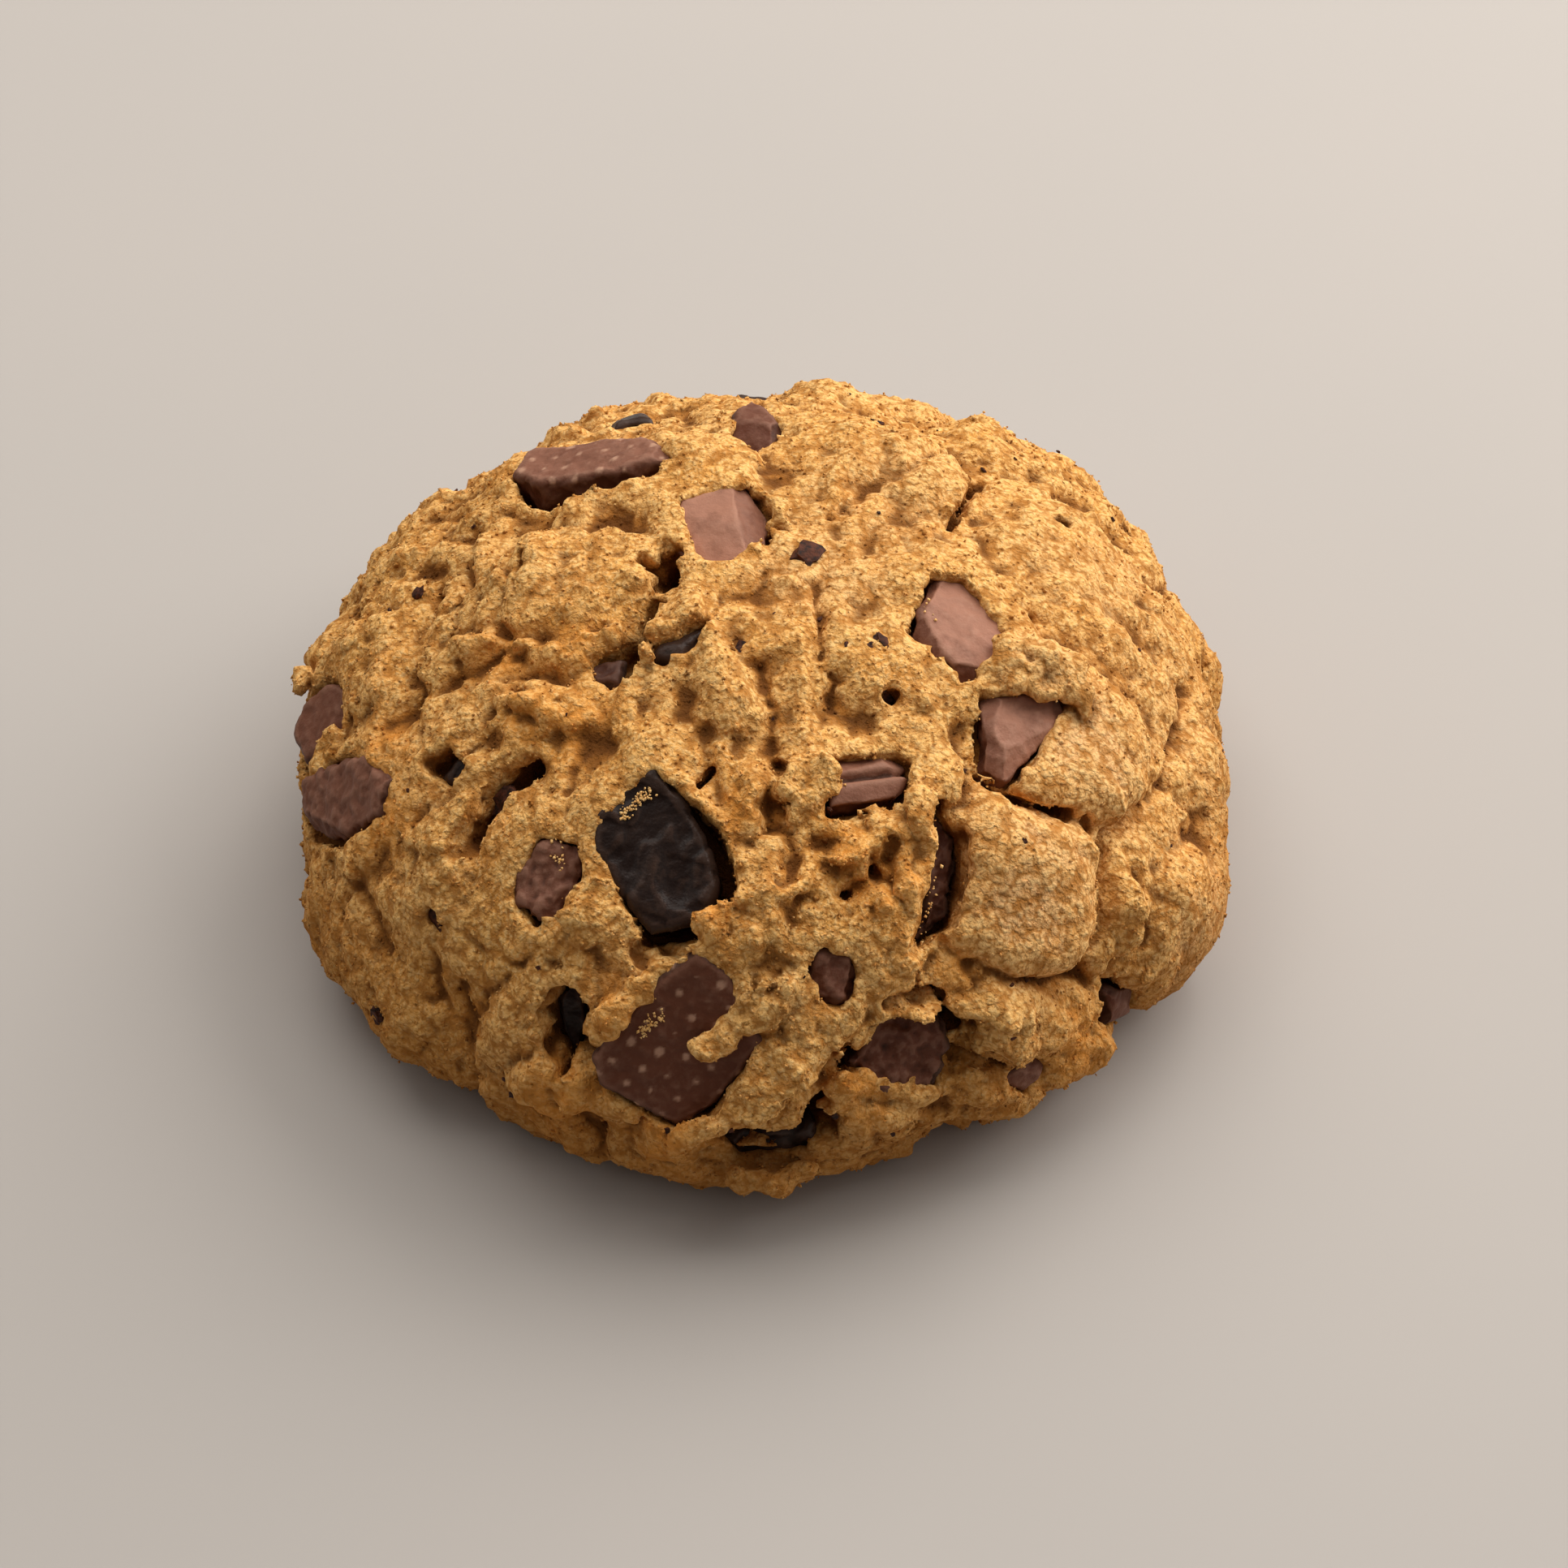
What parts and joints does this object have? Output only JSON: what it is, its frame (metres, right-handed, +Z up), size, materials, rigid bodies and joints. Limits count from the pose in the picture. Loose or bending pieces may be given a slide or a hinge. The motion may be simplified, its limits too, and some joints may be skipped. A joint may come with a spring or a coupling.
{
  "type": "chocolate chip cookie",
  "caption": "Thick domed cookie of lumpy baked dough, with chunks of milk and dark chocolate set in its crust.",
  "frame": {"origin": "middle of the flat underside", "axes": "+Z up, -Y towards the side with the big front pockets, +X to the right seen from that side"},
  "size_m": [0.0834, 0.0853, 0.0368],
  "materials": {
    "dough": "matt, crumbly baked dough",
    "milk_chocolate": "dull, with pale bloom",
    "dark_chocolate": "satin"
  },
  "bodies": {
    "root": {"dark_chunk_base": "dark_chocolate", "dark_chunk_far": "dark_chocolate", "dark_chunk_far_left_rim": "dark_chocolate", "dark_chunk_far_right": "dark_chocolate", "dark_chunk_front": "dark_chocolate", "dark_chunk_front_low": "dark_chocolate", "dark_chunk_groove": "dark_chocolate", "dark_chunk_left": "dark_chocolate", "dark_chunk_sliver": "dark_chocolate", "dark_chunk_top_edge": "dark_chocolate", "dough": "dough", "milk_chunk_crack": "milk_chocolate", "milk_chunk_crown": "milk_chocolate", "milk_chunk_crown_back": "milk_chocolate", "milk_chunk_crown_left": "milk_chocolate", "milk_chunk_far_left": "milk_chocolate", "milk_chunk_far_right": "milk_chocolate", "milk_chunk_far_right_rim": "milk_chocolate", "milk_chunk_far_rim": "milk_chocolate", "milk_chunk_fold": "milk_chocolate", "milk_chunk_front": "milk_chocolate", "milk_chunk_front_left": "milk_chocolate", "milk_chunk_left_rim": "milk_chocolate", "milk_chunk_left_rim_high": "milk_chocolate", "milk_chunk_notch": "milk_chocolate", "milk_chunk_ridged": "milk_chocolate", "milk_chunk_right": "milk_chocolate", "milk_chunk_right_low": "milk_chocolate", "milk_chunk_small": "milk_chocolate", "milk_chunk_smear": "milk_chocolate"}
  },
  "joints": []
}
